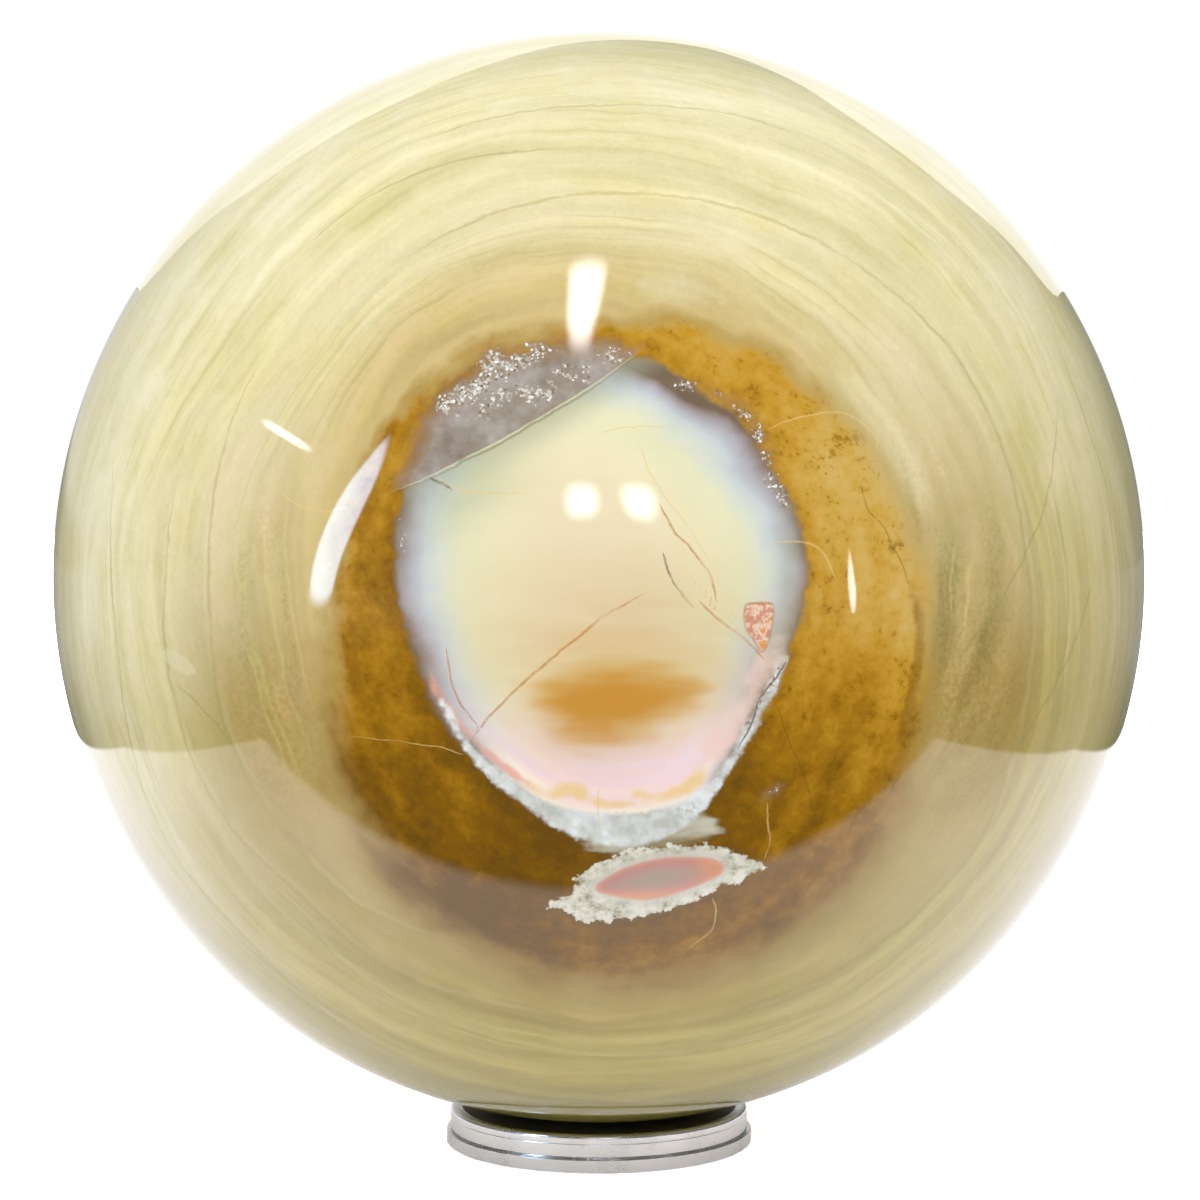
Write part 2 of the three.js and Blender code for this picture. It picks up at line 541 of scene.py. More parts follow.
def near_line(points: np.ndarray, line: np.ndarray) -> tuple[np.ndarray, np.ndarray]:
    """Measure how far points are from a line of straight pieces.

    Each piece gives the distance to its nearest point, and the least one counts. Its sign is that
    of the cross product of the piece and the way to the point, so it tells the two sides apart.

    Args:
        points: Chart places, one a row.
        line: Chart places along the line.
    Returns:
        The signed distances, and how far along the line the nearest place is, from 0 to 1.
    """
    best = np.full(len(points), np.inf)
    side = np.ones(len(points))
    where = np.zeros(len(points))
    pieces = len(line) - 1
    for index in range(pieces):
        start, span = line[index], line[index + 1] - line[index]
        away = points - start
        share = np.clip(away @ span / max(span @ span, 1e-12), 0.0, 1.0)
        gap = away - share[:, None] * span
        distance = np.einsum("ij,ij->i", gap, gap)
        closer = distance < best
        cross = span[0] * away[:, 1] - span[1] * away[:, 0]
        best = np.where(closer, distance, best)
        side = np.where(closer, np.where(cross >= 0, 1.0, -1.0), side)
        where = np.where(closer, (index + share) / pieces, where)
    return np.sqrt(best) * side, where


def inside(points: np.ndarray, outline: np.ndarray) -> np.ndarray:
    """Say which points an outline encloses, by counting how often a level ray crosses it."""
    odd = np.zeros(len(points), dtype=bool)
    for first, second in zip(outline[:-1], outline[1:]):
        spans = (first[1] > points[:, 1]) != (second[1] > points[:, 1])
        rise = second[1] - first[1]
        crossing = first[0] + (points[:, 1] - first[1]) * (second[0] - first[0]) / (rise or 1e-12)
        odd ^= spans & (points[:, 0] < crossing)
    return odd


@dataclass
class StonePattern:
    """Works out, for each point of the stone, the numbers that its finish is drawn from."""

    chart: Chart
    vein_reach_mm: float = 2.2

    def depth(self, places: np.ndarray, outline: Trace) -> np.ndarray:
        """Return how deep inside a closed outline each place is, in millimetres, below zero outside."""
        line = self.chart.curve(outline)
        distance = np.abs(near_line(places, line)[0])
        return np.where(inside(places, line), distance, -distance)

    def patch(self, places: np.ndarray, patches: tuple[Patch, ...]) -> np.ndarray:
        """Work out the strength of soft ovals: e to the minus (distance over size) to a power.

        Args:
            places: Chart places of the stone's points.
            patches: The ovals, of which the strongest counts.
        Returns:
            Strengths from 0 to 1.
        """
        strength = np.zeros(len(places))
        for item in patches:
            x, y = item.middle
            middle, right, above = self.chart.place([(x, y), (x + item.half_width, y), (x, y - item.half_height)])
            wide, high = np.linalg.norm(right - middle), np.linalg.norm(above - middle)
            tilt = math.radians(item.tilt_deg)
            away = places - middle
            across = away[:, 0] * math.cos(tilt) + away[:, 1] * math.sin(tilt)
            upward = away[:, 1] * math.cos(tilt) - away[:, 0] * math.sin(tilt)
            distance = np.hypot(across / wide, upward / high)
            strength = np.maximum(strength, np.exp(-(distance**item.sharpness)))
        return strength

    def fringe(self, places: np.ndarray, fringes: tuple[Fringe, ...]) -> np.ndarray:
        """Work out the strength of fringes: a bell curve across each line, of which the strongest counts.

        Args:
            places: Chart places of the stone's points.
            fringes: The fringes.
        Returns:
            Strengths from 0 up.
        """
        strength = np.zeros(len(places))
        for item in fringes:
            gap, where = near_line(places, self.chart.curve(item.line))
            ends = np.clip(np.minimum(where, 1.0 - where) / item.line.taper, 0.3, 1.0)
            strength = np.maximum(strength, item.strength * ends * np.exp(-((gap / item.reach_mm) ** 2)))
        return strength

    def veins(self, places: np.ndarray, traces: tuple[Trace, ...]) -> tuple[np.ndarray, np.ndarray]:
        """Work out the lines of one kind.

        Args:
            places: Chart places of the stone's points.
            traces: The lines.
        Returns:
            The signed distance to the nearest line, and that line's half width there, which
            narrows to nothing at the line's ends and is nothing out of its reach.
        """
        margin = self.vein_reach_mm * 2
        distance = np.full(len(places), margin)
        half_width = np.zeros(len(places))
        for trace in traces:
            line = self.chart.curve(trace)
            low, high = line.min(axis=0) - margin, line.max(axis=0) + margin
            near = np.flatnonzero(np.all((places > low) & (places < high), axis=1))
            gap, where = near_line(places[near], line)
            closer = np.abs(gap) < np.abs(distance[near])
            near, gap, where = near[closer], gap[closer], where[closer]
            ends = np.clip(np.minimum(where, 1.0 - where) / trace.taper, 0.0, 1.0)
            distance[near] = gap
            half_width[near] = np.where(np.abs(gap) < self.vein_reach_mm, trace.width_mm / 2 * ends, 0.0)
        return distance, half_width

    def numbers(self, normals: np.ndarray) -> dict[str, np.ndarray]:
        """Work out every number that the finish reads.

        Args:
            normals: Outward unit normals of the stone's points.
        Returns:
            Arrays by the name that the mesh gives them.
        """
        places = self.chart.flatten(normals)
        pole = self.chart.eyepoint.on_stone(np.array([BAND_POLE_PX]))[0]
        found = {
            "band": np.degrees(np.arccos(np.clip(normals @ pole, -1.0, 1.0))),
            "crack_side": near_line(places, self.chart.curve(LONG_CRACK))[0],
        }
        for name, outline in OUTLINES.items():
            found[name] = self.depth(places, outline)
        for name, patches in PATCHES.items():
            found[name] = self.patch(places, patches)
        for name, fringes in FRINGES.items():
            found[name] = self.fringe(places, fringes)
        lines = {kind.value: traces for kind, traces in VEINS.items()}
        lines["long_crack"] = (LONG_CRACK,)
        for name, traces in lines.items():
            found[name + "_gap"], found[name + "_half"] = self.veins(places, traces)
        return found


def link_mesh(name: str, points: np.ndarray, faces: list[list[int]]) -> bpy.types.Object:
    """Make a smooth mesh object at the origin from points in metres and faces.

    Args:
        name: The object's name.
        points: Vertex places, one a row.
        faces: Vertex numbers of each face, anticlockwise from outside.
    Returns:
        The new object, linked to the scene.
    """
    mesh = bpy.data.meshes.new(name)
    mesh.from_pydata(points.tolist(), [], faces)
    mesh.polygons.foreach_set("use_smooth", np.ones(len(faces), dtype=bool))
    mesh.update()
    piece = bpy.data.objects.new(name, mesh)
    bpy.context.collection.objects.link(piece)
    return piece


@dataclass
class WearGroup:
    """The faint scuffs and dust that handling leaves on polished things, as a shared node group."""

    name: str = "handling_wear"
    tree: bpy.types.NodeTree | None = field(default=None)

    def build(self) -> bpy.types.NodeTree:
        """Make the group: fine scratches where stretched noise peaks, and soft smudges."""
        tree = bpy.data.node_groups.new(self.name, "ShaderNodeTree")
        for socket, kind in (("Vector", "NodeSocketVector"), ("Scratch Size", "NodeSocketFloat"),
                             ("Smudge Size", "NodeSocketFloat")):
            tree.interface.new_socket(socket, in_out="INPUT", socket_type=kind)
        for socket in ("Scratches", "Smudges"):
            tree.interface.new_socket(socket, in_out="OUTPUT", socket_type="NodeSocketFloat")
        graph = Graph(tree)
        given = tree.nodes.new("NodeGroupInput").outputs
        result = tree.nodes.new("NodeGroupOutput").inputs
        stretched = graph.add("Mapping", {"Vector": given["Vector"], "Rotation": (0.5, 0.9, 0.3),
                                          "Scale": (1.0, 0.06, 1.0)}).outputs[0]
        fine = graph.add("TexNoise", {"Vector": stretched, "Detail": 1.0})
        graph.feed(fine.inputs["Scale"], graph.math("DIVIDE", 1.0, given["Scratch Size"]))
        soft = graph.add("TexNoise", {"Vector": given["Vector"], "Detail": 1.0})
        graph.feed(soft.inputs["Scale"], graph.math("DIVIDE", 1.0, given["Smudge Size"]))
        graph.feed(result["Scratches"], graph.step(fine.outputs[0], 0.6, 0.72))
        graph.feed(result["Smudges"], graph.step(soft.outputs[0], 0.42, 0.66))
        self.tree = tree
        return tree


@dataclass
class AgateFinish:
    """The polished agate: banded outer stone, amber halo, milky eye, rinds, crystals and cracks."""

    wear: bpy.types.NodeTree
    centre: np.ndarray
    polish: float = 0.03
    index: float = 1.54
    crystal_mm: float = 0.4

    def build(self) -> bpy.types.Material:
        """Make the stone's material, layer over layer from the outer bands to the finest cracks.

        Returns:
            The material.
        """
        material = bpy.data.materials.new("polished_agate")
        material.use_nodes = True
        self.graph = Graph(material.node_tree)
        shader = material.node_tree.nodes["Principled BSDF"]
        self.share_noises()
        colour = self.bands()
        for layer in (self.growth_lines, self.halo, self.eye, self.rinds, self.lens, self.crystals, self.cracks):
            colour = layer(colour)
        self.graph.feed(shader.inputs["Base Color"], colour)
        self.graph.feed(shader.inputs["Roughness"], self.roughness())
        self.graph.feed(shader.inputs["Normal"], self.relief())
        shader.inputs["IOR"].default_value = self.index
        self.spare_bounces(material.node_tree, shader)
        return material

    def spare_bounces(self, tree: bpy.types.NodeTree, shader: bpy.types.Node) -> None:
        """Give light that comes from a dull surface one plain colour, which is quick to work out.

        Args:
            tree: The material's nodes.
            shader: The stone's full shader, for all other light.
        """
        plain = self.graph.add("BsdfDiffuse", {"Color": srgb(204, 190, 140)})
        path = self.graph.add("LightPath").outputs["Is Diffuse Ray"]
        choice = self.graph.add("MixShader", {0: path, 1: shader.outputs[0], 2: plain.outputs[0]})
        self.graph.feed(tree.nodes["Material Output"].inputs["Surface"], choice.outputs[0])

    def share_noises(self) -> None:
        """Make the coordinates, in millimetres from the stone's centre, and the noises that all layers share.

        The bands' coordinate runs in degrees from the bands' pole, and close to the halo it turns
        into the distance from the eye, so that the streaks there wrap round the halo.
        """
        graph = self.graph
        middle = tuple(float(-value / MM) for value in self.centre)
        source = graph.add("TexCoord").outputs["Object"]
        self.place = graph.add("Mapping", {"Vector": source, "Location": middle, "Scale": (1 / MM,) * 3}).outputs[0]
        parts = graph.add("SeparateXYZ", {0: self.place}).outputs
        self.across, self.height = parts[0], parts[2]
        self.lumps = graph.noise(self.place, 15.0, 2.0, 0.6)
        self.veil = graph.noise(self.place, 6.0, 3.0, 0.58)
        self.grit = graph.noise(self.place, 2.2, 2.0, 0.65)
        self.fine = graph.noise(self.place, 0.9, 2.0, 0.7)
        swell = graph.noise(self.place, 60.0, 0.0)
        band = graph.attribute("band")
        bent = graph.product(graph.math("SUBTRACT", swell, 0.5), graph.step(band, 95.0, 165.0, 9.0, 22.0))
        far = graph.sum(band, bent, graph.product(graph.step(band, 95.0, 165.0), graph.sway(self.lumps, 4.0)))
        near = graph.math("MULTIPLY_ADD", graph.attribute("eye"), -0.52, 22.0)
        wrapped = graph.mix(graph.step(graph.attribute("halo"), -26.0, -6.0), far, near)
        self.band = graph.sum(wrapped, graph.sway(self.lumps, 2.2))
        self.broad = graph.noise(self.place, 90.0, 1.0, 0.65, layer=graph.product(self.band, 0.2))
        self.fibre = graph.noise(self.place, 30.0, 2.0, 0.55, layer=graph.product(self.band, 0.5))
        self.rings = graph.noise(self.place, 260.0, 0.0, layer=graph.product(self.band, 0.42))
        flat = graph.add("Mapping", {"Vector": self.place, "Scale": (0.16, 1.0, 1.0)}).outputs[0]
        self.brush = graph.noise(flat, 3.4, 2.0, 0.6)

    def edge(self, depth: Any, soft: float) -> Socket:
        """Return a mask that is one inside an outline and fades over a soft edge in millimetres."""
        return self.graph.step(depth, -soft, soft)

    def between(self, value: Any, low: float, high: float) -> Socket:
        """Return a soft bump that is one midway between two values and zero outside them."""
        graph, middle = self.graph, (low + high) / 2
        return graph.product(graph.step(value, low, middle), graph.step(value, middle, high, 1.0, 0.0))

    def rough(self, name: str, *sways: tuple[Socket, float]) -> Socket:
        """Return a depth that the mesh carries, made ragged by noises.

        Args:
            name: The number's name.
            sways: Noises and how many millimetres each moves the edge.
        Returns:
            The ragged depth in millimetres.
        """
        graph = self.graph
        return graph.sum(graph.attribute(name), *(graph.sway(noise, reach) for noise, reach in sways))

    def line(self, name: str, widen: float = 1.0, ragged: float = 1.0) -> Socket:
        """Return the mask of one kind of fine line, slightly uneven in course and strength.

        Args:
            name: The kind of line, as the mesh's numbers name it.
            widen: How many times its drawn width it is wide.
            ragged: How many times the usual amount its course is disturbed.
        Returns:
            One on the line, zero off it.
        """
        graph = self.graph
        half = graph.attribute(name + "_half")
        gap = graph.math("ABSOLUTE", self.rough(name + "_gap", (self.grit, 0.5 * ragged), (self.veil, 0.8 * ragged)))
        share = graph.math("DIVIDE", gap, graph.math("MAXIMUM", graph.product(half, widen), 0.001))
        drawn = graph.step(share, 0.3, 1.7, 1.0, 0.0)
        fade = graph.step(graph.sum(self.veil, graph.sway(self.fine, 0.5)), 0.25, 0.6, 0.3, 1.0)
        return graph.product(drawn, graph.step(half, 0.01, 0.05), fade)

    def bands(self) -> Socket:
        """Colour the outer stone by its distance from the bands' pole.

        One ramp gives the light bands over the eye, another the browner ones beside and under it.
        Streaks along the bands, yellow stains and sandy grains vary them.

        Returns:
            The colour of the outer stone.
        """
        graph = self.graph
        spot = graph.sum(graph.product(self.band, 1 / 180), graph.sway(self.broad, 0.06))
        light_side = graph.ramp(spot, LIGHT_BANDS)
        brown_side = graph.ramp(spot, BROWN_BANDS)
        lean = graph.sum(0.5, graph.product(self.height, -0.0085), graph.product(self.across, 0.0035),
                         graph.sway(self.broad, 0.7))
        tone = graph.blend(graph.step(lean, 0.05, 0.95), light_side, brown_side)
        stain = graph.step(graph.sum(self.lumps, graph.sway(self.broad, 0.8)), 0.4, 0.75)
        tone = graph.blend(graph.product(stain, 0.45), tone, srgb(246, 243, 206), "MULTIPLY")
        under = graph.step(self.height, -92.0, -40.0, 1.0, 0.0)
        tone = graph.blend(graph.product(under, 0.9), tone, srgb(255, 252, 186), "MULTIPLY")
        shade = graph.product(graph.attribute("shade"), graph.sum(0.85, graph.sway(self.fibre, 1.4)))
        tone = graph.blend(shade, tone, srgb(162, 138, 70))
        sand = graph.attribute("sand")
        grains = graph.step(graph.sum(self.fine, graph.sway(self.fibre, 1.8), graph.sway(self.veil, 0.6)), 0.3, 0.8)
        tone = graph.blend(graph.product(sand, grains, 0.7), tone, srgb(176, 152, 92))
        cream = graph.step(graph.sum(graph.attribute("cream"), graph.sway(self.veil, 0.5), graph.sway(self.lumps, 0.5)),
                           0.2, 0.8)
        tone = graph.blend(graph.product(cream, 0.75), tone, srgb(224, 211, 168))
        calm = graph.step(self.band, 48.0, 78.0, 1.0, 0.55)
        streaks = graph.product(graph.sum(graph.sway(self.broad, 0.42), graph.sway(self.fibre, 0.5)),
                                graph.sum(calm, graph.product(sand, 1.8), graph.product(under, 0.9)))
        light = graph.sum(1.0, streaks, graph.sway(self.veil, 0.08), graph.sway(self.grit, 0.12),
                          graph.sway(self.fine, 0.14), graph.product(sand, graph.sway(self.fine, 0.5)))
        tint = graph.add("CombineColor", {0: light, 1: light, 2: graph.math("POWER", light, 1.6)}).outputs[0]
        return graph.blend(1.0, tone, tint, "MULTIPLY")

    def growth_lines(self, below: Socket) -> Socket:
        """Draw the thin olive and yellow growth lines, the crossing seams and the pale chip.

        Args:
            below: The colour so far.
        Returns:
            The colour with the lines on it.
        """
        graph = self.graph
        outside = graph.step(graph.attribute("halo"), -7.0, -1.0, 1.0, 0.0)
        calm = graph.step(self.band, 48.0, 75.0, 1.0, 0.35)
        strength = graph.product(outside, calm, graph.step(self.lumps, 0.3, 0.65))
        course = graph.sum(self.rings, graph.sway(self.grit, 0.03), graph.sway(self.veil, 0.05))
        olive = self.between(course, 0.42, 0.55)
        yellow = self.between(course, 0.34, 0.43)
        colour = graph.blend(graph.product(olive, strength, 0.22), below, srgb(164, 154, 88))
        colour = graph.blend(graph.product(yellow, strength, 0.3), colour, srgb(214, 208, 126))
        pale = self.between(self.rough("olive_gap", (self.grit, 1.0), (self.veil, 1.8)), 0.0, 2.2)
        pale = graph.product(pale, graph.step(graph.attribute("olive_half"), 0.02, 0.12), graph.step(self.lumps, 0.3, 0.6))
        colour = graph.blend(graph.product(pale, 0.1), colour, srgb(238, 232, 192))
        for name, tint, share in (("olive", srgb(162, 150, 74), 0.38), ("seam", srgb(150, 142, 82), 0.4)):
            colour = graph.blend(graph.product(self.line(name, 1.5, 1.8), share), colour, tint)
        chip = graph.step(graph.sum(graph.attribute("chip"), graph.sway(self.grit, 0.5)), 0.4, 0.7)
        return graph.blend(graph.product(chip, 0.5), colour, srgb(222, 216, 178))

    def halo(self, below: Socket) -> Socket:
        """Lay the amber and brown halo over the bands.

        A number for the depth of the stain, from tan to umber, is made from the place round the
        eye and from the noises, and one palette colours it.

        Args:
            below: The colour so far.
        Returns:
            The colour with the halo on it.
        """
        graph = self.graph
        low = graph.step(self.height, -50.0, 8.0, 1.0, 0.0)
        flank = graph.attribute("ochre")
        rim = graph.step(graph.attribute("eye"), -6.0, 0.0)
        depth = self.rough("halo", (self.lumps, 9.0), (self.fibre, 6.0), (self.broad, 5.0), (self.veil, 3.5),
                           (self.grit, 1.8))
        soft = graph.sum(2.0, graph.product(low, 3.0), graph.product(flank, 2.0))
        reach = graph.math("DIVIDE", depth, soft)
        aura = graph.product(graph.step(reach, -2.2, 0.5), graph.math("MULTIPLY_ADD", low, 0.35, 0.4))
        colour = graph.blend(aura, below, graph.blend(low, srgb(202, 176, 110), srgb(140, 112, 50)))
        foot = graph.step(self.height, -72.0, -48.0, 1.0, 0.0)
        stain = graph.sum(0.43, graph.product(foot, -0.22), graph.product(low, 0.5), graph.product(rim, 0.18), graph.product(flank, -0.17),
                          graph.product(self.across, -0.0022), graph.sway(self.lumps, 0.4), graph.sway(self.veil, 0.5),
                          graph.sway(self.fibre, 0.45), graph.sway(self.grit, 0.36), graph.sway(self.fine, 0.16))
        amber = graph.ramp(stain, [
            (0.0, srgb(206, 178, 108)), (0.2, srgb(202, 163, 74)), (0.4, srgb(190, 144, 42)),
            (0.6, srgb(164, 118, 20)), (0.8, srgb(134, 93, 10)), (1.0, srgb(108, 76, 16)),
        ])
        umber = graph.sum(graph.attribute("umber"), graph.sway(self.veil, 1.3), graph.sway(self.grit, 0.5))
        umber = graph.product(graph.step(umber, 0.25, 0.9), graph.step(graph.attribute("umber"), 0.03, 0.25))
        amber = graph.blend(graph.product(umber, 0.75), amber, srgb(140, 98, 18))
        specks = graph.sum(self.fine, graph.sway(self.grit, 0.8), graph.sway(self.veil, 0.9),
                           graph.product(graph.attribute("speck"), 0.13))
        specks = graph.step(specks, 0.66, 0.86)
        amber = graph.blend(graph.product(specks, 0.5), amber, srgb(116, 82, 14))
        colour = graph.blend(graph.step(reach, -1.0, 1.0), colour, amber)
        edge = graph.product(self.between(reach, -1.6, 0.9), graph.step(graph.sum(low, flank), 0.0, 0.8, 0.42, 0.05))
        return graph.blend(edge, colour, srgb(158, 130, 54))

    def eye(self, below: Socket) -> Socket:
        """Colour the milky eye by its depth, with its grey wedge, pink foot, amber smear and rim colours.

        Args:
            below: The colour so far.
        Returns:
            The colour with the eye on it.
        """
        graph = self.graph
        depth = graph.sum(self.rough("eye", (self.lumps, 5.0), (self.veil, 2.0), (self.grit, 0.8)),
                          graph.product(graph.attribute("dusk"), -3.4))
        milk = graph.ramp(graph.product(depth, 1 / 32), [
            (0.0, srgb(116, 98, 78)), (0.035, srgb(148, 136, 130)), (0.085, srgb(176, 174, 178)),
            (0.15, srgb(198, 206, 206)), (0.23, srgb(214, 219, 200)), (0.32, srgb(225, 224, 184)),
            (0.5, srgb(231, 223, 182)), (0.75, srgb(231, 218, 180)), (1.0, srgb(230, 216, 180)),
        ])
        inward = graph.product(graph.attribute("rind"), -1.0)
        layers = graph.noise(self.place, 13.0, 0.0, layer=graph.product(inward, 0.6))
        pink = graph.ramp(graph.sum(graph.product(inward, 1 / 17), graph.sway(layers, 0.7)), [
            (0.0, srgb(250, 236, 214)), (0.12, srgb(248, 226, 210)), (0.35, srgb(244, 216, 216)),
            (0.6, srgb(242, 220, 230)), (0.85, srgb(244, 228, 212)), (1.0, srgb(238, 224, 194)),
        ])
        low = graph.attribute("low")
        milk = graph.blend(graph.product(low, graph.step(graph.attribute("eye"), 0.5, 3.5)), milk, pink)
        glow = graph.product(graph.attribute("glow"), graph.sum(0.6, graph.sway(self.brush, 0.8)))
        milk = graph.blend(glow, milk, srgb(208, 176, 122))
        smear = graph.product(self.rough("smear", (self.brush, 5.0), (self.lumps, 3.0), (self.veil, 1.6)), 1 / 6.0)
        warm = graph.ramp(smear, [
            (0.0, srgb(216, 188, 130)), (0.25, srgb(208, 166, 84)), (0.5, srgb(202, 150, 50)), (0.85, srgb(198, 138, 32)),
        ])
        milk = graph.blend(graph.product(graph.step(smear, -1.1, 1.1), 0.93), milk, warm)
        for name, tint, share in (("coral", srgb(232, 164, 140), 0.75), ("gold", srgb(236, 202, 128), 0.8),
                                  ("rose", srgb(236, 204, 190), 0.9)):
            amount = graph.sum(graph.attribute(name), graph.sway(layers, 1.2), graph.sway(self.veil, 1.8),
                               graph.sway(self.grit, 0.8))
            amount = graph.product(graph.step(amount, 0.25, 1.25), graph.step(graph.attribute(name), 0.02, 0.35))
            milk = graph.blend(graph.product(amount, share), milk, tint)
        milk = graph.blend(graph.product(graph.attribute("green"), 0.45), milk, srgb(166, 174, 142))
        clouds = graph.sum(1.0, graph.sway(self.brush, 0.06), graph.sway(self.lumps, 0.08), graph.sway(self.veil, 0.05),
                           graph.sway(self.fine, 0.02))
        clouds = graph.add("CombineColor", {0: clouds, 1: clouds, 2: graph.math("POWER", clouds, 1.6)}).outputs[0]
        milk = graph.blend(1.0, milk, clouds, "MULTIPLY")
        side = self.rough("crack_side", (self.veil, 0.25))
        upper = graph.step(self.height, 6.0, 20.0)
        shade = graph.product(graph.step(side, -6.0, 0.0), upper, 0.6)
        milk = graph.blend(shade, milk, srgb(160, 164, 138))
        grey = graph.ramp(graph.sum(self.veil, graph.sway(self.grit, 0.3), graph.sway(self.lumps, 0.3)), [
            (0.3, srgb(126, 110, 92)), (0.5, srgb(150, 138, 128)), (0.7, srgb(178, 170, 164)),
        ])
        milk = graph.blend(graph.product(graph.step(side, -0.15, 0.15), upper, 0.9), milk, grey)
        wedge = graph.product(graph.step(side, -0.15, 0.15), upper)
        limit = self.rough("eye", (self.grit, 1.6), (self.veil, 2.0))
        soft = graph.math("MULTIPLY_ADD", wedge, 2.6, 0.7)
        return graph.blend(graph.step(graph.math("DIVIDE", limit, soft), -1.0, 1.0), below, milk)

    def rinds(self, below: Socket) -> Socket:
        """Add the white rim at the eye's foot and the brushed tongue under it.

        Args:
            below: The colour so far.
        Returns:
            The colour with the rim and the tongue on it.
        """
        graph = self.graph
        crumbs = graph.product(graph.attribute("crumbs"), graph.step(self.fine, 0.5, 0.64))
        tongue = graph.blend(graph.step(self.brush, 0.35, 0.65), srgb(166, 158, 124), srgb(214, 212, 192))
        mask = self.edge(self.rough("tongue", (self.brush, 9.0), (self.grit, 2.0)), 1.0)
        colour = graph.blend(graph.product(mask, 0.85), below, tongue)
        white = graph.ramp(graph.sum(self.veil, graph.sway(self.grit, 0.6)), [
            (0.3, srgb(190, 193, 180)), (0.5, srgb(212, 216, 208)), (0.7, srgb(234, 238, 234)),
        ])
        limit = self.rough("rind", (self.grit, 1.6), (self.fine, 0.7), (self.veil, 1.2))
        colour = graph.blend(self.edge(limit, 0.5), colour, white)
        near = graph.step(graph.attribute("rind"), -1.2, 0.0)
        return graph.blend(graph.product(crumbs, near, 0.45), colour, srgb(156, 152, 126))

    def lens(self, below: Socket) -> Socket:
        """Add the small pink lens in its ragged cream crust.

        Args:
            below: The colour so far.
        Returns:
            The colour with the lens on it.
        """
        graph = self.graph
        cream = graph.ramp(graph.sum(self.grit, graph.sway(self.fine, 0.5)), [
            (0.28, srgb(148, 144, 120)), (0.42, srgb(192, 190, 166)), (0.62, srgb(224, 222, 204)),
        ])
        crust = self.rough("lens_rind", (self.grit, 3.4), (self.fine, 1.6))
        shadow = graph.product(graph.step(crust, -2.5, 0.5), 0.4)
        colour = graph.blend(shadow, below, srgb(112, 84, 36))
        colour = graph.blend(self.edge(crust, 0.25), colour, cream)
        smooth = graph.step(self.rough("lens", (self.veil, 1.0)), -1.8, -0.4)
        colour = graph.blend(graph.product(smooth, 0.7), colour, srgb(208, 206, 190))
        inward = self.rough("lens", (self.brush, 1.6))
        pink = graph.ramp(graph.product(inward, 1 / 4.2), [
            (0.0, srgb(214, 168, 148)), (0.2, srgb(202, 148, 136)), (0.5, srgb(190, 158, 146)),
            (0.8, srgb(184, 166, 150)), (1.0, srgb(178, 164, 148)),
        ])
        pink = graph.blend(graph.product(graph.attribute("ember"), 0.7), pink, srgb(226, 164, 120))
        return graph.blend(self.edge(self.rough("lens", (self.grit, 0.6)), 0.3), colour, pink)

    def crystals(self, below: Socket) -> Socket:
        """Scatter small crystals where the frost number is high, each with its own brightness: their own pale grey, and
        painted glints where they are near white.

        Args:
            below: The colour so far.
        Returns:
            The colour with the crystals on it.
        """
        graph = self.graph
        frost = graph.attribute("frost")
        cells = graph.add("TexVoronoi", {"Vector": self.place, "Scale": 1.0 / self.crystal_mm})
        chance = graph.add("SeparateColor", {0: cells.outputs["Color"]}).outputs
        level = graph.sum(graph.product(frost, 0.9), graph.sway(self.grit, 1.6), graph.sway(self.veil, 0.9),
                          graph.product(chance[0], -0.55))
        level = graph.product(level, graph.step(frost, 0.05, 0.3))
        haze = graph.product(frost, 0.5, graph.step(self.veil, 0.35, 0.6))
        colour = graph.blend(haze, below, srgb(150, 130, 106))
        # Painted glints: each crystal gets a random brightness up to near white, standing in for light caught by its
        # faces.
        glint = graph.ramp(chance[1], [
            (0.0, srgb(124, 104, 80)), (0.4, srgb(168, 158, 142)), (0.75, srgb(206, 202, 192)), (1.0, srgb(250, 248, 243)),
        ])
        return graph.blend(graph.product(graph.step(level, 0.36, 0.5), 0.92), colour, glint)

    def cracks(self, below: Socket) -> Socket:
        """Draw the rust, pale and dark cracks, a thin painted shadow along the long crack's lower side, and the small
        orange inclusion.

        Args:
            below: The colour so far.
        Returns:
            The finished colour.
        """
        graph = self.graph
        patch = graph.ramp(graph.sum(self.grit, graph.sway(self.fine, 0.4)), [
            (0.36, srgb(224, 146, 58)), (0.48, srgb(238, 210, 184)), (0.6, srgb(204, 130, 96)),
        ])
        held = self.rough("inclusion", (self.grit, 0.5))
        colour = graph.blend(graph.product(self.edge(held, 0.2), 0.85), below, patch)
        colour = graph.blend(graph.product(self.between(held, -0.3, 0.3), 0.5), colour, srgb(176, 130, 92))
        # Painted shadow: a thin dark olive line just below the long crack, as if its edge cast shade.
        under = self.between(self.rough("long_crack_gap", (self.grit, 0.5), (self.veil, 0.8)), -0.75, -0.1)
        under = graph.product(under, graph.step(graph.attribute("long_crack_half"), 0.02, 0.1))
        colour = graph.blend(graph.product(under, 0.6), colour, srgb(104, 100, 74))
        finishes = (("rust", srgb(190, 130, 60), 0.75), ("pale", srgb(226, 198, 128), 0.55),
                    ("dark", srgb(96, 88, 62), 0.8), ("umber_line", srgb(120, 86, 20), 0.5),
                    ("long_crack", srgb(228, 216, 166), 0.85))
        for name, tint, strength in finishes:
            colour = graph.blend(graph.product(self.line(name), strength), colour, tint)
        return colour

    def roughness(self) -> Socket:
        """Return the polish, duller in scuffs, smudges and chalky rinds."""
        graph = self.graph
        wear = graph.add("Group", {"Vector": self.place, "Scratch Size": 0.5, "Smudge Size": 18.0}, node_tree=self.wear)
        return graph.sum(self.polish, graph.product(wear.outputs["Scratches"], 0.01),
                         graph.product(wear.outputs["Smudges"], 0.006),
                         graph.product(graph.step(graph.attribute("rind"), 0.0, 1.0), 0.05))

